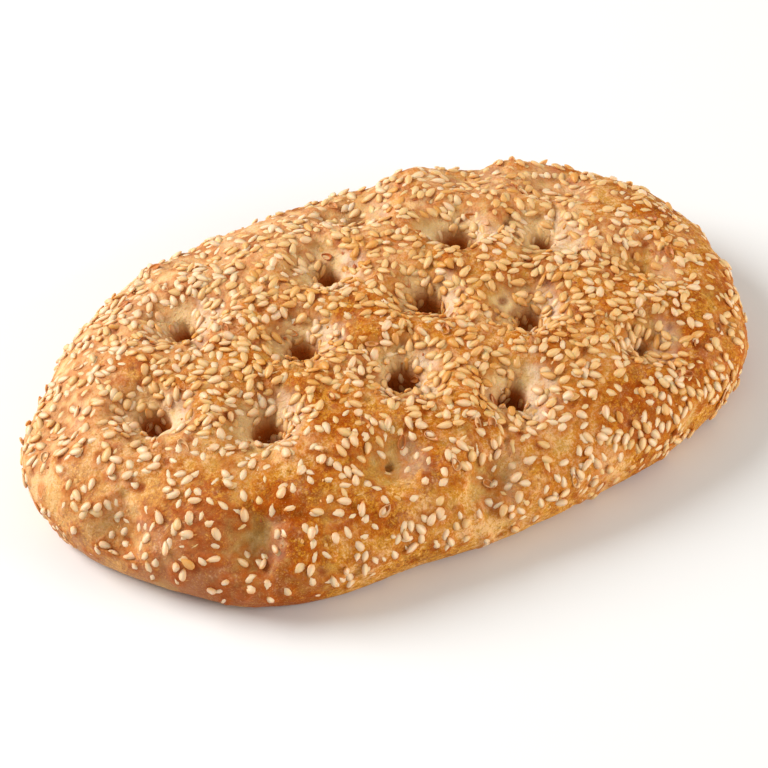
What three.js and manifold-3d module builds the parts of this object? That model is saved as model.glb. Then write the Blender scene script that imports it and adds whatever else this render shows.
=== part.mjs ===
// Lagana, a Greek Lenten flat bread: a long oval loaf, flat underneath, with finger dimples pressed
// in rows into its crown and sesame seeds baked onto the crust.
// Millimetres. The origin is the middle of the base, X runs along the loaf and Z points up.

import * as THREE from "three";
import { mergeVertices } from "three/addons/utils/BufferGeometryUtils.js";
import Module from "manifold-3d";

// Loaf
const LENGTH = 182;
const WIDTH = 111.5;
const HEIGHT = 30; // the crown, before the dimples are pressed in
const WIDEST_HEIGHT = 11; // the side bulges out furthest at this height
const FOOT_INSET = 6; // the base draws in this far from the widest line
const SHOULDER_POWER = 3; // a higher power gives a flatter crown and a steeper shoulder
const BELOW_BASE = 4; // dough that is cut away again to leave a flat base
// The outline is hand-shaped: each lobe swells the oval by a share of its radius, count times round it
const OUTLINE_LOBES = [
  { count: 3, share: 0.0115, turn: 1.2 },
  { count: 4, share: 0.0245, turn: -3.05 },
  { count: 5, share: 0.0035, turn: 2.45 },
  { count: 6, share: 0.0035, turn: 2.8 },
  { count: 7, share: 0.012, turn: -2.45 },
  { count: 8, share: 0.004, turn: 0 },
  { count: 9, share: 0.005, turn: 3 },
];
// The outline's radii start here, which puts the middle of the loaf's box on the origin
const OUTLINE_CENTRE = { x: 1.2, y: -0.1 };

// Finger dimples: a wide funnel that bulges the dough into pillows, with a narrow hole in the deep ones.
// A funnel below zero is a swelling.
const HOLE_WIDENING = 1.7; // times the square root of a hole's depth, this is its radius at the rim
const HOLE_FLOOR = 0.45; // share of the rim's radius where the rounded floor meets the wall
const HOLE_FLOOR_DEPTH = 0.93; // share of the hole's depth where it does so
const HOLE_WAIST = 0.7; // share of the rim's radius half-way up the wall
const HOLE_FLARE = 1.5; // above the rim the finger widens to this many radii
const HOLE_MOUTH_RISE = 0.3; // the finger reaches its full radius this far above the funnel's wall
const HOLE_CLEARANCE = 5; // the finger goes on this far above the funnel's lowest point
const PRESS_REACH = 9; // a press moves only the dough within this depth of the crust
const DIMPLES = [
  { x: -60, y: -0.5, radius: 13, funnel: 5.5, hole: 6.5 },
  { x: -41.5, y: 22.5, radius: 13, funnel: 5.5, hole: 6.5 },
  { x: -25, y: 43, radius: 13, funnel: 3.5, hole: 0 },
  { x: -38.5, y: -16.5, radius: 13, funnel: 5.5, hole: 7 },
  { x: -20, y: 2, radius: 13, funnel: 5.5, hole: 7 },
  { x: -4, y: 22, radius: 13, funnel: 5.5, hole: 6.5 },
  { x: 13, y: 40, radius: 13, funnel: 4.5, hole: 3 },
  { x: -19, y: -39, radius: 11, funnel: 4, hole: 1.5 },
  { x: -4.5, y: -17.5, radius: 13, funnel: 5.5, hole: 9.5 },
  { x: 12.5, y: 2, radius: 13, funnel: 5.5, hole: 8.5 },
  { x: 29.5, y: 19, radius: 13, funnel: 5.5, hole: 8 },
  { x: 32, y: 46, radius: 13, funnel: -1.6, hole: 0 },
  { x: 43, y: 38, radius: 13, funnel: 2.5, hole: 0 },
  { x: 57, y: 40, radius: 13, funnel: -1.3, hole: 0 },
  { x: 2, y: -50, radius: 11, funnel: 4.5, hole: 0 },
  { x: 16, y: -33.5, radius: 13, funnel: 5, hole: 7 },
  { x: 31, y: -12.5, radius: 13, funnel: 5.5, hole: 6 },
  { x: 47.5, y: 9.5, radius: 13, funnel: 5.5, hole: 6 },
  { x: 60, y: 26, radius: 13, funnel: 3, hole: 0 },
  { x: 52, y: -31, radius: 11, funnel: 5, hole: 2.5 },
  { x: 64, y: -9, radius: 12, funnel: 3.5, hole: 1 },
  { x: -55, y: -42.5, radius: 10, funnel: 5.5, hole: 0 },
  { x: -78, y: -22.5, radius: 10, funnel: 3.5, hole: 0 },
  { x: -78, y: 10, radius: 10, funnel: 2, hole: 0 },
];

// Sesame seeds
const SEED_LENGTH = 3.4;
const SEED_WIDTH = 2.1;
const SEED_THICKNESS = 2.2; // with the part that is sunk in the crust
const SEED_SINK = 0.4; // the middle of a seed lies this far below the crust
const SEED_TAPER = 0.3; // the pointed end loses this share of the width, the round end gains it
const SEED_COUNT = 150; // places tried over the crust; those in a finger hole stay bare
const SEEDED_REACH = 0.975; // seeds stop short of the widest line, at this share of the radius
const SEED_SIZE_SPREAD = 0.12;
const SEED_STRAY = 0.1; // a seed's place strays from the even pattern by up to this many radians
const SEED_PATTERN = 11; // another number gives other turns and sizes
const BARE_HOLE_MARGIN = 1.5; // clear crust between a finger hole and the nearest seed

// Facets
const LENGTH_STEPS = 42;
const WIDTH_STEPS = 28;
const SIDE_STEPS = 3;
const SHOULDER_CROWDING = 0.6; // draws the crown's rings together towards the steep shoulder
const HOLE_SIDES = 12;
const SEED_SIDES = 6;
const SEED_BANDS = 3;
const MERGE_DISTANCE = 1e-4;

const CRUST_COLOUR = 0xd0965e;
const CRUST_ROUGHNESS = 0.55;

const UP = new THREE.Vector3(0, 0, 1);
const wasm = await Module();
wasm.setup();

// A repeatable random number from 0 to 1
function seededRandom(seed) {
  let state = seed;
  return () => {
    state = (state * 1664525 + 1013904223) % 4294967296;
    return state / 4294967296;
  };
}

// Distance from the outline's centre to the widest line
function outlineRadius(angle) {
  const oval = 1 / Math.hypot(Math.cos(angle) / (LENGTH / 2), Math.sin(angle) / (WIDTH / 2));
  let swell = 1;
  for (const lobe of OUTLINE_LOBES) {
    swell += lobe.share * Math.cos(lobe.count * angle + lobe.turn);
  }
  return oval * swell;
}

function pointAt(angle, radius, height) {
  return new THREE.Vector3(
    OUTLINE_CENTRE.x + radius * Math.cos(angle),
    OUTLINE_CENTRE.y + radius * Math.sin(angle),
    height,
  );
}

// The domed crust before pressing: reach is 0 at the crown's middle and 1 at the widest line
function domePoint(angle, reach) {
  const rise = Math.sqrt(Math.max(0, 1 - reach ** SHOULDER_POWER));
  const height = WIDEST_HEIGHT + (HEIGHT - WIDEST_HEIGHT) * rise;
  return pointAt(angle, outlineRadius(angle) * reach, height);
}

// The rounded side under the widest line: drop is 0 there and 1 at the base
function sidePoint(angle, reach, drop) {
  const inset = FOOT_INSET * (1 - Math.sqrt(Math.max(0, 1 - Math.min(drop, 1) ** 2)));
  return pointAt(angle, (outlineRadius(angle) - inset) * reach, WIDEST_HEIGHT * (1 - drop));
}

function polarOf(x, y) {
  const angle = Math.atan2(y - OUTLINE_CENTRE.y, x - OUTLINE_CENTRE.x);
  const radius = Math.hypot(x - OUTLINE_CENTRE.x, y - OUTLINE_CENTRE.y);
  return { angle, reach: Math.min(radius / outlineRadius(angle), 1) };
}

// The outward direction of a surface given by angle and reach
function outward(surface, angle, reach) {
  const step = 0.01;
  const along = surface(angle, reach + step).sub(surface(angle, reach - step));
  const around = surface(angle + step, reach).sub(surface(angle - step, reach));
  return along.cross(around).normalize();
}

function funnelDepth(dimple, across) {
  const share = Math.min(across / dimple.radius, 1);
  return dimple.funnel * (1 - share ** 2) ** 2;
}

// Each dimple with its place on the dome, the direction that the finger came from, and its hole's rim
const presses = DIMPLES.map((dimple) => {
  const { angle, reach } = polarOf(dimple.x, dimple.y);
  const holeRadius = HOLE_WIDENING * Math.sqrt(dimple.hole);
  return {
    ...dimple,
    holeRadius,
    rimRise: dimple.funnel - funnelDepth(dimple, holeRadius) + HOLE_MOUTH_RISE,
    foot: domePoint(angle, reach),
    axis: outward(domePoint, angle, reach),
  };
});

function distanceFromAxis(point, press) {
  const offset = point.clone().sub(press.foot);
  const along = offset.dot(press.axis);
  return { along, across: offset.addScaledVector(press.axis, -along).length() };
}

// Moves a point of the dome down into every funnel that it lies in
function pressDough(point) {
  const pressed = point.clone();
  for (const press of presses) {
    const { along, across } = distanceFromAxis(point, press);
    if (along > -PRESS_REACH) {
      pressed.addScaledVector(press.axis, -funnelDepth(press, across));
    }
  }
  return pressed;
}

function crustPoint(angle, reach) {
  return pressDough(domePoint(angle, reach));
}

function solidFrom(geometry) {
  const bare = new THREE.BufferGeometry();
  bare.setAttribute("position", geometry.getAttribute("position"));
  bare.setIndex(geometry.getIndex());
  const merged = mergeVertices(bare, MERGE_DISTANCE);
  const mesh = new wasm.Mesh({
    numProp: 3,
    vertProperties: new Float32Array(merged.getAttribute("position").array),
    triVerts: new Uint32Array(merged.getIndex().array),
  });
  return new wasm.Manifold(mesh);
}

function geometryFrom(solid) {
  const mesh = solid.getMesh();
  const geometry = new THREE.BufferGeometry();
  geometry.setAttribute("position", new THREE.BufferAttribute(mesh.vertProperties, 3));
  geometry.setIndex(new THREE.BufferAttribute(mesh.triVerts, 1));
  geometry.computeVertexNormals();
  return geometry;
}

// A gridded box is drawn out into the loaf: its top becomes the crown and its walls the rounded side
function doughSolid() {
  const geometry = new THREE.BoxGeometry(2, 2, 2, LENGTH_STEPS, WIDTH_STEPS, SIDE_STEPS);
  const places = geometry.getAttribute("position");
  const cube = new THREE.Vector3();
  for (let i = 0; i < places.count; i += 1) {
    cube.fromBufferAttribute(places, i);
    const across = cube.x * Math.sqrt(1 - cube.y ** 2 / 2);
    const back = cube.y * Math.sqrt(1 - cube.x ** 2 / 2);
    const angle = Math.atan2(back * WIDTH, across * LENGTH);
    const ring = Math.min(Math.hypot(across, back), 1);
    const crowded = Math.sin((ring * Math.PI) / 2);
    const reach = THREE.MathUtils.lerp(ring, crowded, SHOULDER_CROWDING);
    const drop = ((1 - cube.z) / 2) * (1 + BELOW_BASE / WIDEST_HEIGHT);
    const point = cube.z === 1 ? crustPoint(angle, reach) : sidePoint(angle, reach, drop);
    places.setXYZ(i, point.x, point.y, point.z);
  }
  const table = new THREE.BoxGeometry(2 * LENGTH, 2 * WIDTH, HEIGHT);
  table.translate(0, 0, -HEIGHT / 2);
  return solidFrom(geometry).subtract(solidFrom(table));
}

// A finger as wide as the hole, round-ended and flaring at the mouth
function fingerSolid(press) {
  const { hole, holeRadius, rimRise } = press;
  const profile = [
    new THREE.Vector2(0, -hole),
    new THREE.Vector2(HOLE_FLOOR * holeRadius, -HOLE_FLOOR_DEPTH * hole),
    new THREE.Vector2(HOLE_WAIST * holeRadius, (rimRise - hole) / 2),
    new THREE.Vector2(holeRadius, rimRise),
    new THREE.Vector2(HOLE_FLARE * holeRadius, HOLE_CLEARANCE),
    new THREE.Vector2(0, HOLE_CLEARANCE),
  ];
  const geometry = new THREE.LatheGeometry(profile, HOLE_SIDES);
  const tip = press.foot.clone().addScaledVector(press.axis, -press.funnel);
  const turn = new THREE.Quaternion().setFromUnitVectors(new THREE.Vector3(0, 1, 0), press.axis);
  geometry.applyQuaternion(turn);
  geometry.translate(tip.x, tip.y, tip.z);
  return solidFrom(geometry);
}

// A flat teardrop lying on the crust, pointed at one end
function seedSolid(place, axis, spin, size) {
  const geometry = new THREE.SphereGeometry(1, SEED_SIDES, SEED_BANDS);
  geometry.rotateX(Math.PI / 2);
  const widestRing = Math.sin(Math.PI / SEED_BANDS);
  const points = geometry.getAttribute("position");
  for (let i = 0; i < points.count; i += 1) {
    const along = points.getX(i) / widestRing;
    const across = points.getY(i) / widestRing;
    points.setXYZ(
      i,
      (size * along * SEED_LENGTH) / 2,
      (size * across * SEED_WIDTH * (1 - SEED_TAPER * along)) / 2,
      (size * points.getZ(i) * SEED_THICKNESS) / 2,
    );
  }
  geometry.rotateZ(spin);
  geometry.applyQuaternion(new THREE.Quaternion().setFromUnitVectors(UP, axis));
  geometry.translate(place.x, place.y, place.z);
  return solidFrom(geometry);
}

function insideFingerHole(point) {
  return presses.some((press) => {
    const { across } = distanceFromAxis(point, press);
    return press.hole > 0 && across < press.holeRadius + BARE_HOLE_MARGIN;
  });
}

// Seeds at equal shares of the crust's area, each turned by the golden angle from the last
function sesameSolids() {
  const random = seededRandom(SEED_PATTERN);
  const goldenAngle = Math.PI * (3 - Math.sqrt(5));
  const seeds = [];
  for (let i = 0; i < SEED_COUNT; i += 1) {
    const reach = SEEDED_REACH * Math.sqrt((i + 0.5) / SEED_COUNT);
    const oval = i * goldenAngle + SEED_STRAY * random();
    const angle = Math.atan2(WIDTH * Math.sin(oval), LENGTH * Math.cos(oval));
    const spin = random() * 2 * Math.PI;
    const size = 1 + SEED_SIZE_SPREAD * (2 * random() - 1);
    if (!insideFingerHole(domePoint(angle, reach))) {
      const axis = outward(crustPoint, angle, reach);
      const place = crustPoint(angle, reach).addScaledVector(axis, -SEED_SINK);
      seeds.push(seedSolid(place, axis, spin, size));
    }
  }
  return seeds;
}

function laganaMesh() {
  let loaf = doughSolid();
  for (const press of presses.filter((dimple) => dimple.hole > 0)) {
    loaf = loaf.subtract(fingerSolid(press));
  }
  for (const seed of sesameSolids()) {
    loaf = loaf.add(seed);
  }
  const crust = new THREE.MeshStandardMaterial({
    color: CRUST_COLOUR,
    roughness: CRUST_ROUGHNESS,
    metalness: 0,
    flatShading: true,
  });
  const mesh = new THREE.Mesh(geometryFrom(loaf), crust);
  mesh.name = "lagana";
  return mesh;
}

const lagana = new THREE.Group();
lagana.add(laganaMesh());

export default lagana;
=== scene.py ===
"""A lagana as baked: a fine blistered crust with finger dimples, strewn with sesame seeds and husks.

The form is worked out in millimetres, as the solid's is, and goes into the meshes in metres.
"""
import math
from collections import namedtuple

import bmesh
import bpy
import numpy as np
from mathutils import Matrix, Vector, kdtree, noise


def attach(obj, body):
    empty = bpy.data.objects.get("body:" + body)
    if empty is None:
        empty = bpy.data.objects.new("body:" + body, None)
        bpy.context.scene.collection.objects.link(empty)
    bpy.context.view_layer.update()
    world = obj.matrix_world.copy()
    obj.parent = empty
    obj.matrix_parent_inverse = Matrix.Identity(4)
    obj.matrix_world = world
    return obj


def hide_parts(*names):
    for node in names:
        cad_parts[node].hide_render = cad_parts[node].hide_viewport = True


MM = 0.001
NODE = "lagana"
BODY = "root"

# Loaf
LENGTH = 182.0
WIDTH = 111.5
HEIGHT = 30.0
WIDEST_HEIGHT = 11.0
FOOT_INSET = 6.0
SHOULDER_POWER = 3.0
OUTLINE_CENTRE = np.array([1.2, -0.1])
Lobe = namedtuple("Lobe", "count share turn")
OUTLINE_LOBES = [
    Lobe(3, 0.0115, 1.2),
    Lobe(4, 0.0245, -3.05),
    Lobe(5, 0.0035, 2.45),
    Lobe(6, 0.0035, 2.8),
    Lobe(7, 0.012, -2.45),
    Lobe(8, 0.004, 0.0),
    Lobe(9, 0.005, 3.0),
]

# Finger dimples, with the depths of the wide funnel and of the narrow hole in it.
# A funnel below zero is a swelling between the dimples.
HOLE_WIDENING = 1.7
HOLE_FLOOR = 0.5
PRESS_REACH = 9.0
Dimple = namedtuple("Dimple", "x y radius funnel hole")
DIMPLES = [
    Dimple(-60, -0.5, 13, 5.5, 6.5),
    Dimple(-41.5, 22.5, 13, 5.5, 6.5),
    Dimple(-25, 43, 13, 3.5, 0),
    Dimple(-38.5, -16.5, 13, 5.5, 7),
    Dimple(-20, 2, 13, 5.5, 7),
    Dimple(-4, 22, 13, 5.5, 6.5),
    Dimple(13, 40, 13, 4.5, 3),
    Dimple(-19, -39, 11, 4, 1.5),
    Dimple(-4.5, -17.5, 13, 5.5, 9.5),
    Dimple(12.5, 2, 13, 5.5, 8.5),
    Dimple(29.5, 19, 13, 5.5, 8),
    Dimple(32, 46, 13, -1.6, 0),
    Dimple(43, 38, 13, 2.5, 0),
    Dimple(57, 40, 13, -1.3, 0),
    Dimple(2, -50, 11, 4.5, 0),
    Dimple(16, -33.5, 13, 5, 7),
    Dimple(31, -12.5, 13, 5.5, 6),
    Dimple(47.5, 9.5, 13, 5.5, 6),
    Dimple(60, 26, 13, 3, 0),
    Dimple(52, -31, 11, 5, 2.5),
    Dimple(64, -9, 12, 3.5, 1),
    Dimple(-55, -42.5, 10, 5.5, 0),
    Dimple(-78, -22.5, 10, 3.5, 0),
    Dimple(-78, 10, 10, 2, 0),
]
DIMPLE_WOBBLE = 0.28
WOBBLE_SPACING = 7.0
FINE_WOBBLE_SPACING = 3.0
FINE_WOBBLE_SHARE = 0.6
# A funnel and a hole this deep count as full
FULL_FUNNEL = 5.0
FULL_HOLE = 8.0
# How bare of seeds a dimple without a hole is, and how strongly its wall facing the key light is painted
# pale, as painted light
PLAIN_BARE = 0.4
PLAIN_LIT_WALL = 0.3
# In plan: the side of a dimple that is left bare of seeds, and the side whose wall faces the key light and
# is painted paler, as painted light
BARE_SIDE = np.array([-0.43, 0.9, 0])
KEY_LIT_SIDE = np.array([0.885, -0.466, 0])

# Crust mesh
CROWN_COLUMNS = 300
CROWN_ROWS = 190
SIDE_RINGS = 18
BASE_RINGS = 6
SHOULDER_CROWDING = 0.5
CROWN_TOLERANCE = 1e-6
# While a form is put in order it lies within this reach of its middle, with so many steps to the unit
FORM_REACH = 2
SORT_STEPS = 10000
# Digits kept of a small form's corners, as the last ones can change from run to run
SHAPE_DIGITS = 5
# Relief on the crust: how high each size of lump stands, and how far apart the lumps are
Lump = namedtuple("Lump", "height spacing")
CRUST_LUMPS = [Lump(1.1, 17.0), Lump(0.55, 7.5), Lump(0.22, 3.0), Lump(0.1, 1.3)]
# Height in which the relief fades out towards the base, and the share of it that a hole smooths away
RELIEF_FADE = 4.0
HOLE_SMOOTHING = 0.6

# How much browner each side of the loaf is or, below zero, how much paler. Part of this is painted light and
# shade: the front left, the low left foot and in part the right end, which face away from the key light, are
# painted darker, and the back left and the left end, which face it, are painted paler
BACK_LEFT = np.array([-0.55, 0.83, 0])
FRONT_LEFT_BAKE_AND_SHADE = 0.62
BACK_LEFT_BAKE_AND_LIGHT = -0.25
LEFT_END_BAKE_AND_LIGHT = -0.15
RIGHT_END_BAKE_AND_SHADE = 0.28
BACK_BAKE = -0.36
LEFT_FOOT_BAKE_AND_SHADE = 0.24
BASE_BAKE = 0.3
BACK_FOOT_BAKE = 0.4
CROWN_BAKE = 0.08
LUMP_BAKE = 0.3
BACK_BLOOM = 0.6

# Broad patches of crust that is browner and holds fewer seeds or, below zero, paler: partly real browning
# and partly painted light and shade, such as dimple walls painted paler or darker as light falls on them
Patch = namedtuple("Patch", "x y reach browner")
BAKE_AND_SHADING_PATCHES = [
    Patch(-70, -42, 20, 0.5),
    Patch(-48, -40, 14, 0.38),
    Patch(-34, -56, 11, -0.5),
    Patch(-87, -9, 14, 0.4),
    Patch(-28, -33, 12, 0.3),
    Patch(-9, -46, 11, 0.38),
    Patch(41, -46, 12, 0.45),
    Patch(60, -36, 13, 0.55),
    Patch(-5, 4, 8, 0.35),
    Patch(1, 22, 9, 0.8),
    Patch(-29, -13, 8, 0.5),
    Patch(-58, 10, 9, 0.5),
    Patch(64, 37, 10, 0.45),
    Patch(-12, -13, 8, -0.5),
    Patch(-35, 17, 9, -0.55),
    Patch(-59, -12, 8, -0.35),
    Patch(52, 3, 20, -0.4),
    Patch(-36, -29, 8, -0.4),
    Patch(33, -57, 9, -0.2),
    Patch(-42, -13, 8, -0.3),
    Patch(19, -12, 8, -0.3),
    Patch(-35, -2, 8, 0.35),
    Patch(82, -23, 11, 0.35),
    Patch(-46, 30, 13, -0.65),
    Patch(34, 8, 9, -0.4),
    Patch(-69, -26, 10, -0.1),
    Patch(66, 2, 10, -0.3),
]

# Sesame: whole seeds, the empty husks and broken chips among them, and crumbs of crust
SEED_SIZE = np.array([3.35, 1.95, 1.0])
SEED_TAPER = 0.3
SEED_POINT = 0.3
SEED_SPREAD = 0.1
SEED_SIDES = 6
# How much browner a seed is at its rim and its point, the rim partly a real amber rim and partly painted
# shade on the seed's sides, and how much less so at the back of the loaf
RIM_BROWNING_AND_SHADE = 0.95
RIM_FALLOFF = 1.3
POINT_BROWNING = 0.5
BACK_SHELTER = 0.5
SEED_TRIES = 7900
SEED_ROOM = 1.32
# Points along a seed, as shares of its length, that keep room from other seeds
SEED_SPINE = (-0.27, 0, 0.27)
SEED_LIFT = 0.04
SEED_LIFT_SPREAD = 0.05
SEED_TILT = 0.07
LOWEST_SEED = 2.5
STACKED_SHARE = 0.48
STACKED_LIFT = 0.58
STACKED_TILT = 0.2
# Crust swollen round the seeds, and browned and reddened there, partly caramelised and partly painted shade
# where the seeds sit: from a reach in to where it is full
SEED_COLLAR = 0.34
COLLAR_REACH = 2.0
CARAMEL_AND_SHADE_REACH = 2.6
COLLAR_FULL = 0.9
CONTACT_REACH = 1.7
CONTACT_FULL = 0.8
HUSK_SHARE = 0.045
HUSK_WALL = 0.13
HUSK_CUT = 0.2
CHIP_SHARE = 0.012
CHIP_SIZE = 0.55
CRUMB_COUNT = 1100
CRUMB_SIZE = np.array([1.4, 0.95, 0.5])
CRUMB_SPREAD = 0.3
CRUMB_TILT = 0.5
# A small thing on the crust: its middle, its axes in columns, and points along it
Lying = namedtuple("Lying", "centre axes spine")
# Places where a seed has come off and left a browned hollow
SCAR_COUNT = 360
SCAR_REACH = 1.9
SCAR_FULL = 0.4
SCAR_DEPTH = 0.3
# How thickly seeds lie on the whole, how much they clump, and how much they thin out
MEAN_DENSITY = 0.8
LEAST_DENSITY = 0.08
MOST_DENSITY = 2
FRONT_EVENNESS = 0.15
CLUMPING = 1.4
FINE_CLUMPING = 0.6
PATCH_THINNING = 0.4
FRONT_THINNING = 0.77
FRONT_END_THICKENING = 0.3
END_THINNING = 0.5
BACK_THINNING = 0.55
FUNNEL_THINNING = 0.7
HOLE_THINNING = 0.8
# How much seeds and crumbs toast where they lie; towards the right end, and in the patches, part of it is
# painted light and shade
LEAST_TOAST = 0.04
MIDDLE_TOAST = 0.36
RIGHT_END_TOAST_AND_SHADE = 0.36
FRONT_TOAST = -0.25
BACK_TOAST = 0.1
PATCH_TOAST = 0.5
TOAST_SWAY = 0.3
FINE_TOAST_SWAY = 0.2
TOAST_SPREAD = 0.26
RANDOM_SEED = 20

# Colours
CRUST_PALE = (236, 188, 130)
CRUST_GOLDEN = (208, 142, 42)
CRUST_BROWN = (154, 69, 0)
CRUST_KHAKI = (190, 150, 78)
CRUST_FLECK = (228, 172, 96)
CRUST_BLOOM_AND_LIT_PALE = (242, 198, 156)
DIMPLE_PALE = (234, 204, 150)
CARAMEL_AND_SHADE = (190, 90, 4)
STAIN_AND_SHADE_RED = (142, 50, 0)
DIMPLE_LIT_WALL = (240, 215, 188)
HOLE_SHADE_BROWN = (178, 100, 38)
SEED_CREAM = (243, 213, 178)
SEED_GOLDEN = (236, 196, 138)
SEED_TOASTED = (220, 160, 84)
SEED_EDGE_AND_SHADE = (208, 138, 46)
HUSK_PALE = (236, 194, 136)
HUSK_GOLDEN = (206, 130, 54)
HUSK_BROWN = (178, 92, 26)
HUSK_RIM = (186, 92, 28)
CRUMB_PALE = (226, 172, 104)
CRUMB_GOLDEN = (216, 144, 62)
CRUMB_BROWN = (174, 90, 26)
FLOOR_WHITE = (238, 239, 242)

# Finishes: specks of grain to the metre, roughness, shine, and light let through the outer layer
CRUST_GRAIN = 1900.0
CRUST_ROUGHNESS = 0.56
LOWER_GLOSS = 0.14
CRUST_SHINE = 0.05
CRUST_GLOW = 0.3
SEED_GRAIN = 2600.0
SEED_ROUGHNESS = 0.36
SEED_SHINE = 0.35
SEED_GLOW = 0.4
HUSK_ROUGHNESS = 0.4
CRUMB_GRAIN = 2300.0
CRUMB_ROUGHNESS = 0.5
CRUMB_GLOW = 0.2
FLOOR_ROUGHNESS = 0.9
GLOW_RADIUS = (1.0, 0.55, 0.25)
GLOW_SCALE = 0.001
# Bumps: how strong and, in metres, how high
COARSE_BUMP = (0.5, 0.0003)
FINE_BUMP = (0.2, 0.0002)
# The crust's browning: its mean, and how far each kind of unevenness sways it
MEAN_BAKE = 0.23
MOTTLE_SWAY = 1.2
SPECKLE_SWAY = 2.3
GRIT_SWAY = 1.7
# The crust's markings: patches to the metre, and how strongly each shows
MOTTLE_SCALE = 330.0
GRIT_SCALE = 900.0
BROWNING_SCALE = 110.0
BROWNING_SWAY = 1.3
KHAKI_SCALE = 85.0
KHAKI_STRENGTH = 0.5
KHAKI_IN_DIMPLES = 0.75
DIMPLE_PALENESS = 0.85
DUST_SCALE = 150.0
BLISTER_SCALE = 1500.0
BLISTER_DUST = 0.45
LEAST_DUST = 0.15
LIT_SIDE_AND_BLOOM_STRENGTH = 0.26
FLECK_STRENGTH = 0.55
CARAMEL_AND_SHADE_SCALE = 240.0
CARAMEL_AND_SHADE_STRENGTH = 0.55
STAIN_SCALE = 130.0
STAIN_AND_SHADE_STRENGTH = 0.8
CONTACT_STAIN_AND_SHADE = 0.7
LIT_WALL_STRENGTH = 0.6
PIT_DEPTH = 0.15
# The browning of seeds, husks and crumbs: patches to the metre, and how far they and the grain sway it
SEED_PATCH_SCALE = 500.0
SEED_PATCH_SWAY = 0.35
SEED_SPECKLE_SWAY = 0.2
HUSK_PATCH_SCALE = 700.0
HUSK_PATCH_SWAY = 0.8
HUSK_SPECKLE_SWAY = 0.4
HUSK_RIM_STRENGTH = 0.6
CRUMB_PATCH_SCALE = 300.0
CRUMB_PATCH_SWAY = 1.0
CRUMB_SPECKLE_SWAY = 0.5
CRUMB_TOASTING = 1.6

# View, from the photo's side of the loaf
VIEW_AZIMUTH = math.radians(-27.8)
VIEW_ELEVATION = math.radians(45)
VIEW_DISTANCE = 0.8
VIEW_LENS = 161.0
AIM_HEIGHT = 0.015
AIM_LEFT = 0.0013
AIM_DOWN = 0.0064
CLIP_START = 0.05

# Studio, in metres and watts
FLOOR_REACH = 3.0
SKY_COLOUR = (1, 0.97, 0.89, 1)
SKY_STRENGTH = 0.46
Lamp = namedtuple("Lamp", "name direction distance size power colour")
LAMPS = [
    Lamp("key", (-0.64, 0.52, 0.6), 1.2, 0.75, 16.8, (1, 0.985, 0.955)),
    Lamp("fill", (0.75, -0.7, 0.28), 1.4, 0.9, 14.5, (1, 0.96, 0.87)),
]


def srgb(red, green, blue):
    """A colour from 0 to 255 as linear light, with full alpha."""
    shares = [value / 255 for value in (red, green, blue)]
    linear = [s / 12.92 if s <= 0.04045 else ((s + 0.055) / 1.055) ** 2.4 for s in shares]
    return (*linear, 1.0)


def smooth_step(low, high, values):
    share = np.clip((values - low) / (high - low), 0, 1)
    return share * share * (3 - 2 * share)


def lumps(points, spacing, shift=0.0):
    """Smooth noise from -1 to 1 at each point, with lumps about a spacing apart."""
    moved = points / spacing + shift
    return np.array([noise.noise(Vector(point)) for point in moved])


# The form


def outline_radius(angle):
    oval = 1 / np.hypot(np.cos(angle) / (LENGTH / 2), np.sin(angle) / (WIDTH / 2))
    swell = sum(lobe.share * np.cos(lobe.count * angle + lobe.turn) for lobe in OUTLINE_LOBES)
    return oval * (1 + swell)


def points_at(angle, radius, height):
    x = OUTLINE_CENTRE[0] + radius * np.cos(angle)
    y = OUTLINE_CENTRE[1] + radius * np.sin(angle)
    return np.stack([x, y, height + 0 * x], axis=-1)


def dome(angle, reach):
    """The crown before pressing: reach is 0 in the middle and 1 at the widest line."""
    rise = np.sqrt(np.clip(1 - reach**SHOULDER_POWER, 0, 1))
    height = WIDEST_HEIGHT + (HEIGHT - WIDEST_HEIGHT) * rise
    return points_at(angle, outline_radius(angle) * reach, height)


def under_side(angle, reach, drop):
    """The side under the widest line: drop is 0 there and 1 at the base."""
    inset = FOOT_INSET * (1 - np.sqrt(np.clip(1 - drop**2, 0, 1)))
    radius = (outline_radius(angle) - inset) * reach
    return points_at(angle, radius, WIDEST_HEIGHT * (1 - drop))


def dome_at(x, y):
    dx, dy = x - OUTLINE_CENTRE[0], y - OUTLINE_CENTRE[1]
    angle = np.arctan2(dy, dx)
    return dome(angle, np.minimum(np.hypot(dx, dy) / outline_radius(angle), 0.99))


def crown_reach(points):
    """How far out each point lies on the crown, from 0 in the middle to 1 at the widest line."""
    dx, dy = points[:, 0] - OUTLINE_CENTRE[0], points[:, 1] - OUTLINE_CENTRE[1]
    return np.hypot(dx, dy) / outline_radius(np.arctan2(dy, dx))


def front_reach(points):
    """How far each point lies from the middle towards the front, the side that the photo shows."""
    return points[:, 0] * math.sin(VIEW_AZIMUTH) - points[:, 1] * math.cos(VIEW_AZIMUTH)


def finger_axis(x, y):
    """The direction that a finger came from when it pressed the dome here."""
    step = 0.5
    along = dome_at(x + step, y) - dome_at(x - step, y)
    across = dome_at(x, y + step) - dome_at(x, y - step)
    axis = np.cross(along, across)
    return axis / np.linalg.norm(axis)


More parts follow.
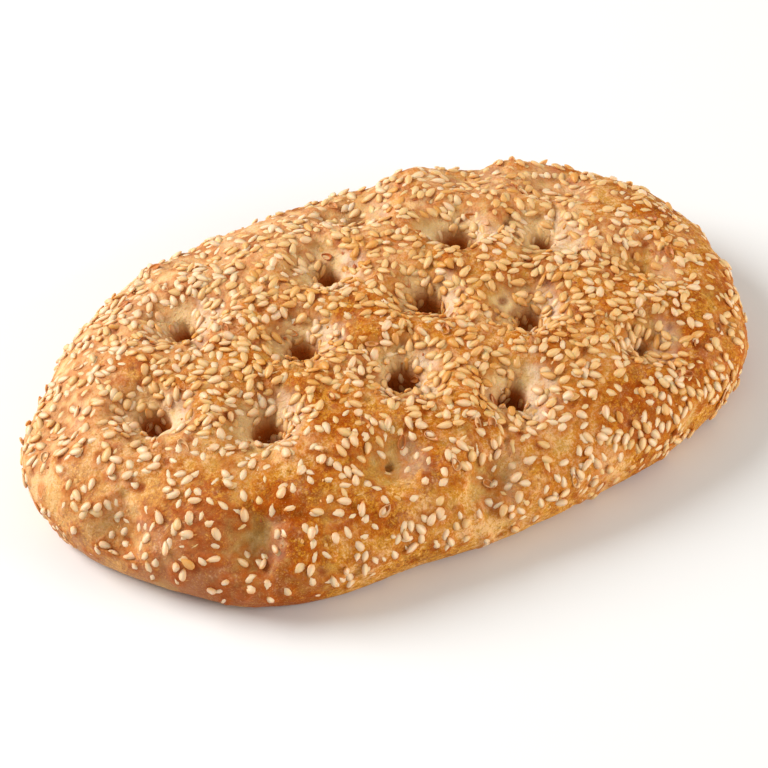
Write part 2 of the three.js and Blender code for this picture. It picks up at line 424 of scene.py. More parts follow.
def press_dough(points):
    """Presses the dimples: the moved points, how deep in a funnel and a hole each is, and how pale each is
    painted where a dimple's wall faces the key light, as painted light.
    """
    pressed = points.copy()
    in_funnel = np.zeros(len(points))
    in_hole = np.zeros(len(points))
    lit_wall_pale = np.zeros(len(points))
    uneven = lumps(points, WOBBLE_SPACING) + FINE_WOBBLE_SHARE * lumps(points, FINE_WOBBLE_SPACING)
    wobble = 1 + DIMPLE_WOBBLE * uneven
    for dimple in DIMPLES:
        axis = finger_axis(dimple.x, dimple.y)
        offset = points - dome_at(dimple.x, dimple.y)
        along = offset @ axis
        across = np.linalg.norm(offset - along[:, None] * axis, axis=1) * wobble
        reached = along > -PRESS_REACH
        funnel = reached * np.clip(1 - (across / dimple.radius) ** 2, 0, 1) ** 2
        rim = HOLE_WIDENING * math.sqrt(max(dimple.hole, 1))
        hole = reached * (1 - smooth_step(HOLE_FLOOR * rim, rim, across))
        depth = dimple.funnel * funnel + dimple.hole * hole
        pressed -= depth[:, None] * axis
        holed = dimple.hole / FULL_HOLE
        bare = min(PLAIN_BARE + holed, 1) * (0.65 + 0.35 * smooth_step(-4, 5, offset @ BARE_SIDE))
        in_funnel = np.maximum(in_funnel, bare * funnel * dimple.funnel / FULL_FUNNEL)
        in_hole = np.maximum(in_hole, hole * dimple.hole / FULL_HOLE)
        # Painted light: the dimple wall that faces the key light is painted paler.
        lit_side_wall = smooth_step(1, 4.5, offset @ KEY_LIT_SIDE) * smooth_step(0.1, 0.45, funnel)
        lit_wall_pale = np.maximum(lit_wall_pale, lit_side_wall * min(PLAIN_LIT_WALL + holed, 1))
    return pressed, in_funnel, in_hole, lit_wall_pale


def patch_bake_and_shading(points):
    """How much browner than the rest of the crust each point is, partly as it baked and partly painted
    shade, and below zero how much paler, partly painted light.
    """
    browner = np.zeros(len(points))
    for patch in BAKE_AND_SHADING_PATCHES:
        away = np.hypot(points[:, 0] - patch.x, points[:, 1] - patch.y)
        browner += patch.browner * smooth_step(patch.reach, 0.3 * patch.reach, away)
    return browner


# Crust


def joined(numbers, base):
    """A few whole numbers below the base, as the digits of a single one."""
    first, second, third = numbers
    return (first * base + second) * base + third


def rank_of_place(vert):
    """A number that grows with a corner's place along x, then y, then z."""
    steps = [round((part + FORM_REACH) * SORT_STEPS) for part in vert.co]
    return joined(steps, 2 * FORM_REACH * SORT_STEPS)


def put_in_order(net):
    """Sorts corners and faces by where they lie, as some operators make them in another order each run."""
    net.verts.sort(key=rank_of_place)
    net.verts.index_update()
    count = len(net.verts)
    net.faces.sort(key=lambda face: joined(sorted(vert.index for vert in face.verts)[:3], count))


def crust_net():
    """The crust laid out square: a gridded crown at height 0, side rings down to -1, then the base."""
    net = bmesh.new()
    bmesh.ops.create_grid(net, x_segments=CROWN_COLUMNS, y_segments=CROWN_ROWS, size=1.0)
    rim = [edge_browning_and_shade for edge_browning_and_shade in net.edges if edge_browning_and_shade.is_boundary]
    for ring in range(SIDE_RINGS + BASE_RINGS):
        made = bmesh.ops.extrude_edge_only(net, edges=rim)["geom"]
        verts = [item for item in made if isinstance(item, bmesh.types.BMVert)]
        rim = [item for item in made if isinstance(item, bmesh.types.BMEdge) and item.is_boundary]
        if ring < SIDE_RINGS:
            bmesh.ops.translate(net, verts=verts, vec=(0, 0, -1 / SIDE_RINGS))
        else:
            left = (SIDE_RINGS + BASE_RINGS - ring - 0.5) / (SIDE_RINGS + BASE_RINGS - ring + 0.5)
            bmesh.ops.scale(net, verts=verts, vec=(left, left, 1))
    bmesh.ops.contextual_create(net, geom=rim)
    bmesh.ops.recalc_face_normals(net, faces=net.faces)
    put_in_order(net)
    return net


def mesh_from(net, name):
    mesh = bpy.data.meshes.new(name)
    net.to_mesh(mesh)
    net.free()
    mesh.shade_smooth()
    return mesh


def read_vectors(items, key):
    values = np.empty(len(items) * 3)
    items.foreach_get(key, values)
    return values.reshape(-1, 3)


def add_attribute(mesh, name, values):
    attribute = mesh.attributes.new(name, "FLOAT", "POINT")
    attribute.data.foreach_set("value", np.asarray(values, dtype=np.float32))


def set_points(mesh, points):
    """Writes points in millimetres to a mesh in metres."""
    mesh.vertices.foreach_set("co", (points * MM).ravel())
    mesh.update()


def add_baking_and_shading(mesh, points, broad_lumps):
    """Marks how brown the crust is on each side of the loaf, partly as it baked and partly painted shade and
    painted light, and how much paler it is painted on the back left and left end, which face the key light,
    and on the back.
    """
    x, y, z = points.T
    front = front_reach(points)
    lower = smooth_step(20, 3, z)
    front_left = smooth_step(38, 62, front) * smooth_step(0, -40, x)
    back_left = smooth_step(20, 60, points @ BACK_LEFT)
    left_end = smooth_step(-45, -85, x)
    right_end = smooth_step(-60, 90, x)
    back = smooth_step(0, 35, y) * smooth_step(85, 50, x)
    # Painted shade and light: the front left, facing away from the key light, is painted darker; the back
    # left and the left end, facing it, are painted paler.
    baked = FRONT_LEFT_BAKE_AND_SHADE * front_left + BACK_LEFT_BAKE_AND_LIGHT * back_left + LEFT_END_BAKE_AND_LIGHT * left_end
    # The right end is browner, partly as it baked and partly painted shade where it faces away from the key
    # light.
    baked = baked + RIGHT_END_BAKE_AND_SHADE * right_end + BACK_BAKE * back
    # Painted shade: the low left foot is painted darker.
    baked = baked + LEFT_FOOT_BAKE_AND_SHADE * lower * smooth_step(-15, -60, x)
    baked = baked + BASE_BAKE * smooth_step(2, 0, z)
    baked = baked + BACK_FOOT_BAKE * lower * smooth_step(-10, -40, front)
    baked = baked + CROWN_BAKE * smooth_step(0.85, 0.35, crown_reach(points))
    # Broad patches, partly as they baked and partly painted light and shade.
    baked = baked + LUMP_BAKE * broad_lumps + patch_bake_and_shading(points)
    add_attribute(mesh, "lower", lower)
    add_attribute(mesh, "baked", baked)
    # Painted light on the back left and the left end, which face the key light, together with a pale back.
    add_attribute(mesh, "lit_side_and_bloom", np.maximum(np.maximum(back_left, left_end), BACK_BLOOM * back))


def crust_mesh():
    """The whole crust: the net bent to the loaf's form, pressed, roughened and marked for its finish."""
    mesh = mesh_from(crust_net(), "crust")
    flat = read_vectors(mesh.vertices, "co")
    across = flat[:, 0] * np.sqrt(1 - flat[:, 1] ** 2 / 2)
    back = flat[:, 1] * np.sqrt(1 - flat[:, 0] ** 2 / 2)
    angle = np.arctan2(back * WIDTH, across * LENGTH)
    ring = np.minimum(np.hypot(across, back), 1)
    reach = ring + SHOULDER_CROWDING * (np.sin(ring * math.pi / 2) - ring)
    drop = np.clip(-flat[:, 2], 0, 1)
    on_crown = flat[:, 2] > -CROWN_TOLERANCE
    crown, in_funnel, in_hole, lit_wall_pale = press_dough(dome(angle, reach))
    points = np.where(on_crown[:, None], crown, under_side(angle, ring, drop))
    set_points(mesh, points)
    above_base = smooth_step(0, RELIEF_FADE, points[:, 2])
    layers = [lump.height * lumps(points, lump.spacing, lump.spacing) for lump in CRUST_LUMPS]
    relief = sum(layers)
    normals = read_vectors(mesh.vertex_normals, "vector")
    points = points + (relief * above_base * (1 - HOLE_SMOOTHING * in_hole))[:, None] * normals
    set_points(mesh, points)
    add_attribute(mesh, "funnel", in_funnel * on_crown)
    add_attribute(mesh, "hole", in_hole * on_crown)
    add_attribute(mesh, "lit_wall_pale", lit_wall_pale * on_crown)
    add_baking_and_shading(mesh, points, layers[0] + layers[1])
    return mesh


# Sesame


def fan_of(face):
    """A face's triangles, fanned out from the corner that comes first in its form."""
    corners = [vert.index for vert in face.verts]
    start = corners.index(min(corners))
    corners = corners[start:] + corners[:start]
    return [[corners[0], second, third] for second, third in zip(corners[1:], corners[2:])]


def shape_of(form):
    """A form's corners and triangles as arrays, and how brown each corner is near its rim or its point, the
    rim partly painted shade.
    """
    put_in_order(form)
    corners = np.array([vert.co for vert in form.verts]).round(SHAPE_DIGITS)
    faces = np.array([triangle for face in form.faces for triangle in fan_of(face)])
    form.free()
    across, out, along = corners.T
    taper = 1 - SEED_TAPER * along - SEED_POINT * np.maximum(along, 0) ** 3
    shape = np.stack([along, across * taper, out * np.sqrt(taper)], axis=1) / 2
    # The rim darkening is partly a real amber rim and partly painted shade on the seed's sides.
    rim = RIM_BROWNING_AND_SHADE * (1 - np.abs(out)) ** RIM_FALLOFF
    edge_browning_and_shade = rim + POINT_BROWNING * smooth_step(0.45, 1, along)
    return shape, faces, np.clip(edge_browning_and_shade, 0, 1)


def seed_ball():
    """A ball with its poles at a seed's two ends."""
    ball = bmesh.new()
    bmesh.ops.create_uvsphere(ball, u_segments=SEED_SIDES, v_segments=SEED_SIDES, radius=1.0)
    return ball


def seed_shape():
    """A flat teardrop, pointed at one end, one unit long, wide and thick."""
    return shape_of(seed_ball())


def husk_shape():
    """An empty seed coat: a seed's lower part, hollow and open above."""
    husk = seed_ball()
    everything = husk.verts[:] + husk.edges[:] + husk.faces[:]
    bmesh.ops.bisect_plane(
        husk, geom=everything, plane_co=(0, HUSK_CUT, 0), plane_no=(0, 1, 0), clear_outer=True
    )
    bmesh.ops.solidify(husk, geom=husk.faces[:], thickness=HUSK_WALL)
    bmesh.ops.recalc_face_normals(husk, faces=husk.faces)
    return shape_of(husk)


def crumb_shape():
    """A small flake of crust."""
    crumb = bmesh.new()
    bmesh.ops.create_icosphere(crumb, subdivisions=1, radius=1.0)
    return shape_of(crumb)


def seed_density(points, in_funnel, in_hole):
    """How thickly the seeds lie: thick over the crown, thin at the front, low down and in the dimples."""
    x, _, z = points.T
    reach = front_reach(points)
    in_front = smooth_step(28, 42, reach)
    uneven = CLUMPING * lumps(points, 9.0, 3.0) + FINE_CLUMPING * lumps(points, 4.0, 7.0)
    clumps = MEAN_DENSITY + uneven * (1 - FRONT_EVENNESS * in_front)
    clumps = clumps - PATCH_THINNING * patch_bake_and_shading(points)
    crown = LEAST_DENSITY + (1 - LEAST_DENSITY) * smooth_step(2, 14, z)
    towards_ends = smooth_step(0, 45, x) + smooth_step(-74, -90, x)
    front = 1 - (FRONT_THINNING - FRONT_END_THICKENING * towards_ends) * in_front
    ends = 1 - END_THINNING * smooth_step(0.5, 0.9, crown_reach(points))
    back = 1 - BACK_THINNING * smooth_step(8, -36, reach)
    funnels = 1 - FUNNEL_THINNING * np.clip(in_funnel, 0, 1)
    holes = 1 - HOLE_THINNING * np.clip(in_hole, 0, 1)
    clear_of_base = z > LOWEST_SEED
    clumps = np.clip(clumps, LEAST_DENSITY, MOST_DENSITY)
    return clumps * crown * front * ends * back * (funnels * holes) * clear_of_base


def face_values(mesh, name):
    """An attribute's value at the first corner of each face."""
    values = np.empty(len(mesh.vertices))
    mesh.attributes[name].data.foreach_get("value", values)
    return values[[polygon.vertices[0] for polygon in mesh.polygons]]


def scattered_places(crust, count, random):
    """Random places over the crust, weighted by density, with the crust's direction there."""
    centres = read_vectors(crust.polygons, "center") / MM
    normals = read_vectors(crust.polygons, "normal")
    areas = np.empty(len(crust.polygons))
    crust.polygons.foreach_get("area", areas)
    density = seed_density(centres, face_values(crust, "funnel"), face_values(crust, "hole"))
    weight = areas * density
    chosen = random.choice(len(centres), size=count, replace=False, p=weight / weight.sum())
    return centres[chosen], normals[chosen]


def seed_axes(normal, spin, tilt):
    """A seed's own axes in columns: along it, across it and out of the crust."""
    out = normal + tilt
    out = out / np.linalg.norm(out)
    along = np.cross(out, (math.cos(spin), math.sin(spin), 0.3))
    along /= np.linalg.norm(along)
    return np.stack([along, np.cross(out, along), out], axis=1)


def cells_round(spot):
    low = np.floor(spot / SEED_ROOM - 0.5).astype(int)
    return [(low[0] + i, low[1] + j, low[2] + k) for i in (0, 1) for j in (0, 1) for k in (0, 1)]


def crowded(spine, taken):
    """Whether a seed comes too near to seeds already lying there."""
    for point in spine:
        for cell in cells_round(point):
            for other in taken.get(cell, ()):
                if np.dot(point - other, point - other) < SEED_ROOM**2:
                    return True
    return False


def laid(spot, normal, lift, tilt, random):
    """A seed as it comes to lie on the crust."""
    axes = seed_axes(normal, random.random() * 2 * math.pi, random.normal(0, tilt, 3))
    centre = spot + normal * (lift + random.normal(0, SEED_LIFT_SPREAD))
    spine = [centre + axes[:, 0] * SEED_SIZE[0] * share for share in SEED_SPINE]
    return Lying(centre, axes, spine)


def settle_seeds(places, normals, random):
    """Lays the seeds one by one where there is room, and some that find none on top of the others."""
    on_crust = {}
    on_seeds = {}
    settled = []
    for spot, normal in zip(places, normals):
        layer = on_crust
        seed = laid(spot, normal, SEED_LIFT, SEED_TILT, random)
        if crowded(seed.spine, layer):
            if random.random() > STACKED_SHARE:
                continue
            layer = on_seeds
            seed = laid(spot, normal, STACKED_LIFT, STACKED_TILT, random)
            if crowded(seed.spine, layer):
                continue
        for point in seed.spine:
            layer.setdefault(tuple(np.floor(point / SEED_ROOM).astype(int)), []).append(point)
        settled.append(seed)
    return settled


def strewn_crumbs(places, normals, random):
    """Crumbs that lie every way round on the crust."""
    return [laid(spot, normal, 0, CRUMB_TILT, random) for spot, normal in zip(places, normals)]


def toasting(centres, random):
    """How much each seed or crumb toasted, most in the middle of the crown and at the right end, where part
    of it is painted shade.
    """
    x, y, _ = centres.T
    middle = 1 - smooth_step(0.35, 0.95, crown_reach(centres))
    # Towards the right end the seeds are darker, partly as they toasted and partly painted shade.
    toast = LEAST_TOAST + MIDDLE_TOAST * middle + RIGHT_END_TOAST_AND_SHADE * smooth_step(-40, 90, x)
    toast = toast + TOAST_SWAY * lumps(centres, 14.0, 5.0)
    toast = toast + FRONT_TOAST * smooth_step(28, 50, front_reach(centres))
    toast = toast + BACK_TOAST * smooth_step(0, 35, y) + PATCH_TOAST * patch_bake_and_shading(centres)
    toast = toast + FINE_TOAST_SWAY * lumps(centres, 5.0, 2.0) + random.normal(0, TOAST_SPREAD, len(centres))
    return np.clip(toast, 0, 1)


def scattered_mesh(name, shape_parts, settled, size, spread, random):
    """One mesh of many small things of a kind, each a little different in size and toasting."""
    shape, faces, edge_browning_and_shade = shape_parts
    corners = []
    for thing in settled:
        own_size = size * (1 + random.normal(0, spread, 3).clip(-2 * spread, 2 * spread))
        corners.append(thing.centre + (shape * own_size) @ thing.axes.T)
    count = len(settled)
    all_faces = (faces[None] + np.arange(count)[:, None, None] * len(shape)).reshape(-1, 3)
    mesh = bpy.data.meshes.new(name)
    mesh.from_pydata((np.concatenate(corners) * MM).tolist(), [], all_faces.tolist())
    mesh.shade_smooth()
    centres = np.array([thing.centre for thing in settled])
    add_attribute(mesh, "toast", np.repeat(toasting(centres, random), len(shape)))
    sheltered = 1 - BACK_SHELTER * smooth_step(8, -36, front_reach(centres))
    add_attribute(mesh, "edge_browning_and_shade", np.tile(edge_browning_and_shade, count) * np.repeat(sheltered, len(shape)))
    return mesh


def distance_to(points, spots):
    """How far each point is from the nearest of the spots."""
    tree = kdtree.KDTree(len(spots))
    for index, spot in enumerate(spots):
        tree.insert(spot, index)
    tree.balance()
    return np.array([tree.find(point)[2] for point in points])


def brown_and_shade_crust(crust, settled, scars):
    """Marks the crust close round the seeds, where it browns more, partly painted shade, and hollows it
    where seeds came off.
    """
    points = read_vectors(crust.vertices, "co") / MM
    normals = read_vectors(crust.vertex_normals, "vector")
    scar = smooth_step(SCAR_REACH, SCAR_FULL, distance_to(points, scars))
    near_seeds = distance_to(points, [point for thing in settled for point in thing.spine])
    collar = SEED_COLLAR * smooth_step(COLLAR_REACH, COLLAR_FULL, near_seeds)
    set_points(crust, points + (collar - scar * SCAR_DEPTH)[:, None] * normals)
    # Browner and reddest close round the seeds: partly caramelised crust and stain, partly painted shade
    # where the seeds sit on the crust.
    add_attribute(crust, "caramel_and_shade", smooth_step(CARAMEL_AND_SHADE_REACH, COLLAR_FULL, near_seeds))
    add_attribute(crust, "contact_stain_and_shade", smooth_step(CONTACT_REACH, CONTACT_FULL, near_seeds))
    add_attribute(crust, "scar", scar)


# Finishes


class Finish:
    """A material, or a node group, while it is being put together."""

    def __init__(self, tree):
        self.nodes = tree.nodes
        self.links = tree.links

    def add(self, kind, inputs=None, **settings):
        """A new node, with its settings, and its inputs either linked or set."""
        node = self.nodes.new(kind)
        for key, value in settings.items():
            setattr(node, key, value)
        for key, value in (inputs or {}).items():
            if isinstance(value, bpy.types.NodeSocket):
                self.links.new(value, node.inputs[key])
            else:
                node.inputs[key].default_value = value
        return node

    def math(self, operation, first, second, clamp=False):
        inputs = {0: first, 1: second}
        return self.add("ShaderNodeMath", inputs, operation=operation, use_clamp=clamp).outputs[0]

    def times(self, value, share):
        return self.math("MULTIPLY", value, share)

    def mix(self, factor, first, second):
        """Two colours mixed. A mix node has its colours in sockets 6 and 7, and its result in 2."""
        inputs = {"Factor": factor, 6: first, 7: second}
        return self.add("ShaderNodeMix", inputs, data_type="RGBA").outputs[2]

    def between(self, value, low, high):
        """A value as a share of the way from low to high, held between 0 and 1."""
        inputs = {"Value": value, "From Min": low, "From Max": high}
        return self.add("ShaderNodeMapRange", inputs, interpolation_type="SMOOTHSTEP").outputs[0]

    def attribute(self, name):
        return self.add("ShaderNodeAttribute", attribute_name=name).outputs["Fac"]

    def position(self):
        return self.add("ShaderNodeTexCoord").outputs["Object"]

    def cloud(self, scale, detail=3.0, roughness=0.6):
        """Noise from about 0 to 1, with scale patches to the metre."""
        inputs = {"Vector": self.position(), "Scale": scale, "Detail": detail, "Roughness": roughness}
        return self.add("ShaderNodeTexNoise", inputs).outputs[0]


def group_with(name, inputs, outputs):
    """A new node group with its sockets, and what puts it together."""
    group = bpy.data.node_groups.new(name, "ShaderNodeTree")
    for direction, sockets in (("INPUT", inputs), ("OUTPUT", outputs)):
        for socket, kind in sockets.items():
            group.interface.new_socket(socket, in_out=direction, socket_type="NodeSocket" + kind)
    return group, Finish(group)


def browning_group():
    """Browns a surface from pale through golden to brown, in uneven patches."""
    inputs = {"Bake": "Float", "Pale": "Color", "Golden": "Color", "Brown": "Color"}
    inputs |= {"Patch Scale": "Float", "Patch Strength": "Float"}
    group, finish = group_with("browning", inputs, {"Color": "Color"})
    given = finish.add("NodeGroupInput").outputs
    patches = finish.math("SUBTRACT", finish.cloud(given["Patch Scale"], 4.0, 0.65), 0.5)
    uneven = finish.math("MULTIPLY", patches, given["Patch Strength"])
    bake = finish.math("ADD", given["Bake"], uneven, clamp=True)
    golden = finish.mix(finish.between(bake, 0.0, 0.5), given["Pale"], given["Golden"])
    brown = finish.mix(finish.between(bake, 0.5, 1.0), golden, given["Brown"])
    finish.add("NodeGroupOutput", {"Color": brown})
    return group


def grain_group():
    """The fine grain of a baked surface: speckles from -0.5 to 0.5, and the height of bumps and pits."""
    outputs = {"Speckle": "Float", "Height": "Float"}
    group, finish = group_with("grain", {"Grain Scale": "Float"}, outputs)
    scale = finish.add("NodeGroupInput").outputs["Grain Scale"]
    fine = finish.cloud(scale, 3.0, 0.7)
    cells = {"Vector": finish.position(), "Scale": scale}
    pits = finish.add("ShaderNodeTexVoronoi", cells).outputs["Distance"]
    speckle = finish.math("SUBTRACT", fine, 0.5)
    height = finish.math("ADD", fine, finish.math("MULTIPLY", pits, PIT_DEPTH))
    finish.add("NodeGroupOutput", {"Speckle": speckle, "Height": height})
    return group


def finish_named(name):
    """A new material, with what puts it together and its shader."""
    material = bpy.data.materials.new(name)
    material.use_nodes = True
    finish = Finish(material.node_tree)
    return material, finish, finish.nodes["Principled BSDF"]


def browned(finish, browning, bake, colours, scale, strength):
    """The browning group placed in a material, with its own colours."""
    pale, golden, brown = (srgb(*colour) for colour in colours)
    inputs = {
        "Bake": bake,
        "Pale": pale,
        "Golden": golden,
        "Brown": brown,
        "Patch Scale": scale,
        "Patch Strength": strength,
    }
    return finish.add("ShaderNodeGroup", node_tree=browning, inputs=inputs).outputs["Color"]


def grained(finish, grain, scale):
    """The grain group placed in a material."""
    return finish.add("ShaderNodeGroup", node_tree=grain, inputs={"Grain Scale": scale}).outputs


def roughen(finish, shader, height, bump):
    """Puts a height into the surface's direction."""
    strength, distance = bump
    inputs = {"Height": height, "Strength": strength, "Distance": distance}
    finish.links.new(finish.add("ShaderNodeBump", inputs).outputs[0], shader.inputs["Normal"])


def glow_through(shader, weight):
    """Lets light through the outer layer, reddest furthest."""
    shader.inputs["Subsurface Weight"].default_value = weight
    shader.inputs["Subsurface Radius"].default_value = GLOW_RADIUS
    shader.inputs["Subsurface Scale"].default_value = GLOW_SCALE


def crust_bake(finish, speckle, mottle):
    """How brown the crust is, from its own marks and from unevenness of every size."""
    grit = finish.math("SUBTRACT", finish.cloud(GRIT_SCALE, 2.0, 0.6), 0.5)
    bake = finish.math("ADD", finish.attribute("baked"), MEAN_BAKE)
    bake = finish.math("ADD", finish.times(mottle, MOTTLE_SWAY), bake)
    bake = finish.math("ADD", finish.times(speckle, SPECKLE_SWAY), bake)
    return finish.math("ADD", finish.times(grit, GRIT_SWAY), bake)


def seed_stains_and_shade(finish, colour, mottle, unbaked):
    """The crust's colour, browner round the seeds and reddest where they touch it, partly painted shade, and
    where they came off, a real stain.
    """
    # Browner round the seeds: partly caramelised crust, partly painted shade where the seeds sit.
    reddened = finish.between(finish.cloud(CARAMEL_AND_SHADE_SCALE, 3.0, 0.6), 0.25, 0.62)
    reddened = finish.times(reddened, finish.attribute("caramel_and_shade"))
    reddened = finish.times(reddened, finish.math("SUBTRACT", 1.0, finish.times(unbaked, 0.6)))
    colour = finish.mix(finish.times(reddened, CARAMEL_AND_SHADE_STRENGTH), colour, srgb(*CARAMEL_AND_SHADE))
    # Reddest where seeds touch the crust, painted shade, and where they came off, a real stain.
    stain_and_shade = finish.between(finish.cloud(STAIN_SCALE, 3.0, 0.6), 0.42, 0.62)
    stain_and_shade = finish.times(finish.times(stain_and_shade, finish.attribute("contact_stain_and_shade")), CONTACT_STAIN_AND_SHADE)
    stain_and_shade = finish.math("MAXIMUM", stain_and_shade, finish.attribute("scar"))
    stain_and_shade = finish.times(stain_and_shade, finish.between(mottle, -0.3, 0.1))
    return finish.mix(finish.times(stain_and_shade, STAIN_AND_SHADE_STRENGTH), colour, srgb(*STAIN_AND_SHADE_RED))


def crust_material(browning, grain):
    """Crust browned in patches and on its sides, partly painted light and shade, pale in the dimples with
    painted light on the walls facing the key light, dusted on the crown, darker and redder round the seeds,
    partly painted shade, and painted shade down the holes.
    """
    material, finish, shader = finish_named("baked_crust")
    lower = finish.attribute("lower")
    speckle, height = grained(finish, grain, CRUST_GRAIN)
    mottle = finish.math("SUBTRACT", finish.cloud(MOTTLE_SCALE, 4.0, 0.7), 0.5)
    bake = crust_bake(finish, speckle, mottle)
    colours = (CRUST_PALE, CRUST_GOLDEN, CRUST_BROWN)
    colour = browned(finish, browning, bake, colours, BROWNING_SCALE, BROWNING_SWAY)
    hollow = finish.math("ADD", finish.attribute("funnel"), mottle)
    khaki = finish.times(finish.between(finish.cloud(KHAKI_SCALE, 3.0, 0.6), 0.52, 0.68), KHAKI_STRENGTH)
    khaki_hollow = finish.times(finish.between(hollow, 0.0, 0.35), KHAKI_IN_DIMPLES)
    colour = finish.mix(finish.math("MAXIMUM", khaki, khaki_hollow), colour, srgb(*CRUST_KHAKI))
    unbaked = finish.between(hollow, 0.25, 0.75)
    colour = finish.mix(finish.times(unbaked, DIMPLE_PALENESS), colour, srgb(*DIMPLE_PALE))
    dusted = finish.between(finish.cloud(DUST_SCALE, 5.0, 0.7), 0.46, 0.68)
    dusted = finish.times(dusted, finish.math("SUBTRACT", 1.1, lower, clamp=True))
    blisters = finish.between(finish.cloud(BLISTER_SCALE, 1.0, 0.5), 0.5, 0.66)
    dust = finish.math("ADD", finish.times(blisters, BLISTER_DUST), LEAST_DUST)
    # Painted light: the back left and the left end, which face the key light, are painted paler, along with
    # a pale back.
    lit_side_and_bloom = finish.times(finish.attribute("lit_side_and_bloom"), LIT_SIDE_AND_BLOOM_STRENGTH)
    paler = finish.math("ADD", finish.times(dusted, dust), lit_side_and_bloom, clamp=True)
    colour = finish.mix(paler, colour, srgb(*CRUST_BLOOM_AND_LIT_PALE))
    flecked = finish.times(finish.between(speckle, 0.02, 0.2), FLECK_STRENGTH)
    colour = finish.mix(flecked, colour, srgb(*CRUST_FLECK))
    colour = seed_stains_and_shade(finish, colour, mottle, unbaked)
    # Painted light: the dimple walls that face the key light get a pale, pinkish tint.
    lit_wall_pale = finish.times(finish.between(mottle, -0.25, 0.1), finish.attribute("lit_wall_pale"))
    colour = finish.mix(finish.times(lit_wall_pale, LIT_WALL_STRENGTH), colour, srgb(*DIMPLE_LIT_WALL))
    # Painted shade: darker brown down the holes.
    colour = finish.mix(finish.between(finish.attribute("hole"), 0.02, 0.5), colour, srgb(*HOLE_SHADE_BROWN))
    finish.links.new(colour, shader.inputs["Base Color"])
    rough = finish.math("SUBTRACT", CRUST_ROUGHNESS, finish.times(lower, LOWER_GLOSS))
    finish.links.new(rough, shader.inputs["Roughness"])
    shader.inputs["Specular IOR Level"].default_value = CRUST_SHINE
    roughen(finish, shader, finish.math("ADD", height, blisters), COARSE_BUMP)
    glow_through(shader, CRUST_GLOW)
    return material


def seed_material(browning, grain):
    """Sesame from cream to toasted, with amber rims that are partly painted shade on the seeds' sides."""
    material, finish, shader = finish_named("toasted_sesame")
    speckle, height = grained(finish, grain, SEED_GRAIN)
    bake = finish.math("ADD", finish.attribute("toast"), finish.times(speckle, SEED_SPECKLE_SWAY))
    colours = (SEED_CREAM, SEED_GOLDEN, SEED_TOASTED)
    colour = browned(finish, browning, bake, colours, SEED_PATCH_SCALE, SEED_PATCH_SWAY)
    # Amber rims, partly real and partly painted shade on the seeds' sides.
    colour = finish.mix(finish.attribute("edge_browning_and_shade"), colour, srgb(*SEED_EDGE_AND_SHADE))
    finish.links.new(colour, shader.inputs["Base Color"])
    shader.inputs["Roughness"].default_value = SEED_ROUGHNESS
    shader.inputs["Specular IOR Level"].default_value = SEED_SHINE
    roughen(finish, shader, height, FINE_BUMP)
    glow_through(shader, SEED_GLOW)
    return material


def husk_material(browning, grain):
    """Empty seed coats, browner than the seeds and darkest at the rim."""
    material, finish, shader = finish_named("empty_husk")
    speckle, height = grained(finish, grain, SEED_GRAIN)
    bake = finish.math("ADD", finish.attribute("toast"), finish.times(speckle, HUSK_SPECKLE_SWAY))
    colours = (HUSK_PALE, HUSK_GOLDEN, HUSK_BROWN)
    colour = browned(finish, browning, bake, colours, HUSK_PATCH_SCALE, HUSK_PATCH_SWAY)
    rim = finish.times(finish.attribute("edge_browning_and_shade"), HUSK_RIM_STRENGTH)
    colour = finish.mix(rim, colour, srgb(*HUSK_RIM))
    finish.links.new(colour, shader.inputs["Base Color"])
    shader.inputs["Roughness"].default_value = HUSK_ROUGHNESS
    roughen(finish, shader, height, FINE_BUMP)
    return material


def crumb_material(browning, grain):
    """Crumbs of crust, browned as the seeds round them are toasted."""
    material, finish, shader = finish_named("crust_crumb")
    speckle, height = grained(finish, grain, CRUMB_GRAIN)
    bake = finish.times(finish.attribute("toast"), CRUMB_TOASTING)
    bake = finish.math("ADD", bake, finish.times(speckle, CRUMB_SPECKLE_SWAY))
    colours = (CRUMB_PALE, CRUMB_GOLDEN, CRUMB_BROWN)
    colour = browned(finish, browning, bake, colours, CRUMB_PATCH_SCALE, CRUMB_PATCH_SWAY)
    finish.links.new(colour, shader.inputs["Base Color"])
    shader.inputs["Roughness"].default_value = CRUMB_ROUGHNESS
    roughen(finish, shader, height, COARSE_BUMP)
    glow_through(shader, CRUMB_GLOW)
    return material


# Studio


def add_object(mesh, material):
    made = bpy.data.objects.new(mesh.name, mesh)
    bpy.context.scene.collection.objects.link(made)
    mesh.materials.append(material)
    return made


def add_floor():
    floor = bmesh.new()
    bmesh.ops.create_grid(floor, x_segments=1, y_segments=1, size=FLOOR_REACH)
    material, _, shader = finish_named("pale_floor")
    shader.inputs["Base Color"].default_value = srgb(*FLOOR_WHITE)
    shader.inputs["Roughness"].default_value = FLOOR_ROUGHNESS
    add_object(mesh_from(floor, "floor"), material)


def add_light(lamp):
    """A soft round light that shines at the loaf's base."""
    light = bpy.data.lights.new(lamp.name, "AREA")
    light.shape = "DISK"
    light.size = lamp.size
    light.energy = lamp.power
    light.color = lamp.colour
    hung = bpy.data.objects.new(lamp.name, light)
    towards = Vector(lamp.direction).normalized()
    hung.location = towards * lamp.distance
    hung.rotation_euler = towards.to_track_quat("Z", "Y").to_euler()
    bpy.context.scene.collection.objects.link(hung)


def add_studio():
    add_floor()
    world = bpy.data.worlds.new("studio")
    world.use_nodes = True
    background = world.node_tree.nodes["Background"]
    background.inputs["Color"].default_value = SKY_COLOUR
    background.inputs["Strength"].default_value = SKY_STRENGTH
    bpy.context.scene.world = world
    for lamp in LAMPS:
        add_light(lamp)
    bpy.context.scene.view_settings.view_transform = "Standard"


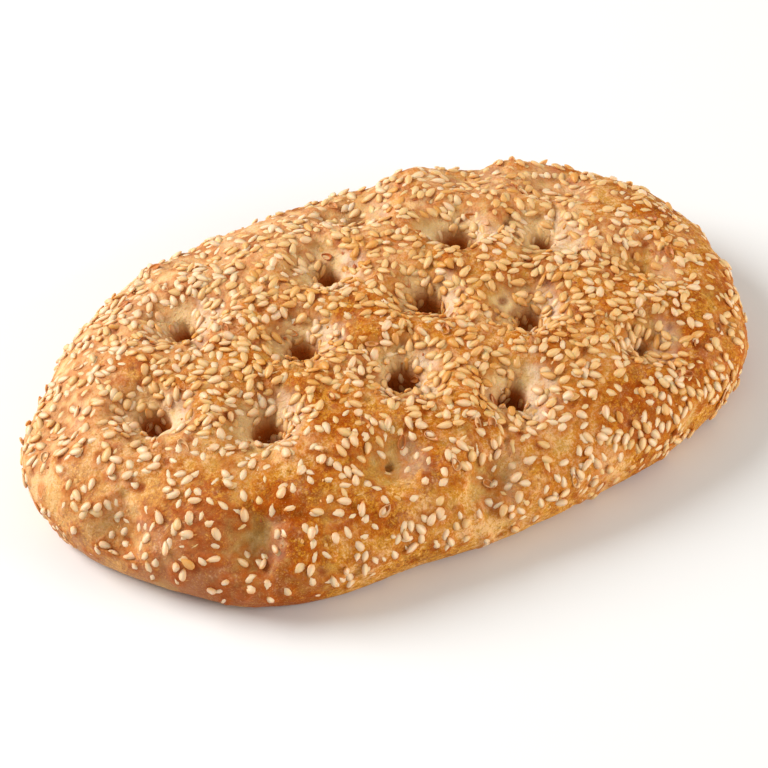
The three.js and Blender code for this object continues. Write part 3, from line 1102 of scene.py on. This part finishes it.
def add_camera():
    back = Vector((
        math.sin(VIEW_AZIMUTH) * math.cos(VIEW_ELEVATION),
        -math.cos(VIEW_AZIMUTH) * math.cos(VIEW_ELEVATION),
        math.sin(VIEW_ELEVATION),
    ))
    right = Vector((math.cos(VIEW_AZIMUTH), math.sin(VIEW_AZIMUTH), 0))
    up = back.cross(right)
    middle = Vector((*OUTLINE_CENTRE * MM, AIM_HEIGHT))
    aim = middle - right * AIM_LEFT - up * AIM_DOWN
    camera = bpy.data.objects.new("camera", bpy.data.cameras.new("camera"))
    camera.data.lens = VIEW_LENS
    camera.data.clip_start = CLIP_START
    camera.location = aim + back * VIEW_DISTANCE
    camera.rotation_euler = back.to_track_quat("Z", "Y").to_euler()
    bpy.context.scene.collection.objects.link(camera)
    bpy.context.scene.camera = camera


def sorted_out(settled, random):
    """The settled things as whole seeds, empty husks and broken chips."""
    draws = random.random(len(settled))
    broken = HUSK_SHARE + CHIP_SHARE
    husks = [thing for thing, draw in zip(settled, draws) if draw < HUSK_SHARE]
    chips = [thing for thing, draw in zip(settled, draws) if HUSK_SHARE <= draw < broken]
    seeds = [thing for thing, draw in zip(settled, draws) if draw >= broken]
    return seeds, husks, chips


def add_loaf():
    random = np.random.default_rng(RANDOM_SEED)
    browning = browning_group()
    grain = grain_group()
    sesame = seed_material(browning, grain)
    crust = crust_mesh()
    settled = settle_seeds(*scattered_places(crust, SEED_TRIES, random), random)
    seeds, husks, chips = sorted_out(settled, random)
    crumbs = strewn_crumbs(*scattered_places(crust, CRUMB_COUNT, random), random)
    scars, _ = scattered_places(crust, SCAR_COUNT, random)
    brown_and_shade_crust(crust, settled, scars)
    chip_size = SEED_SIZE * CHIP_SIZE
    seed_mesh = scattered_mesh("sesame_seeds", seed_shape(), seeds, SEED_SIZE, SEED_SPREAD, random)
    chip_mesh = scattered_mesh("sesame_chips", seed_shape(), chips, chip_size, CRUMB_SPREAD, random)
    husk_mesh = scattered_mesh("sesame_husks", husk_shape(), husks, SEED_SIZE, SEED_SPREAD, random)
    crumb_mesh = scattered_mesh("crust_crumbs", crumb_shape(), crumbs, CRUMB_SIZE, CRUMB_SPREAD, random)
    pieces = [
        add_object(crust, crust_material(browning, grain)),
        add_object(seed_mesh, sesame),
        add_object(chip_mesh, sesame),
        add_object(husk_mesh, husk_material(browning, grain)),
        add_object(crumb_mesh, crumb_material(browning, grain)),
    ]
    for piece in pieces:
        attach(piece, BODY)
        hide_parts(NODE)


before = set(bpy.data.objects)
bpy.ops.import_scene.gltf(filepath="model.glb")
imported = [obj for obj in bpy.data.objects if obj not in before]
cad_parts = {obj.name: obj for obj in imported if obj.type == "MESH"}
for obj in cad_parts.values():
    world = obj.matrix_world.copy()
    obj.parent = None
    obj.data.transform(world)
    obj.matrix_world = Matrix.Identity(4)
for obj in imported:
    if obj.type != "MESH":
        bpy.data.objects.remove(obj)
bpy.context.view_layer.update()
add_loaf()
add_studio()
add_camera()
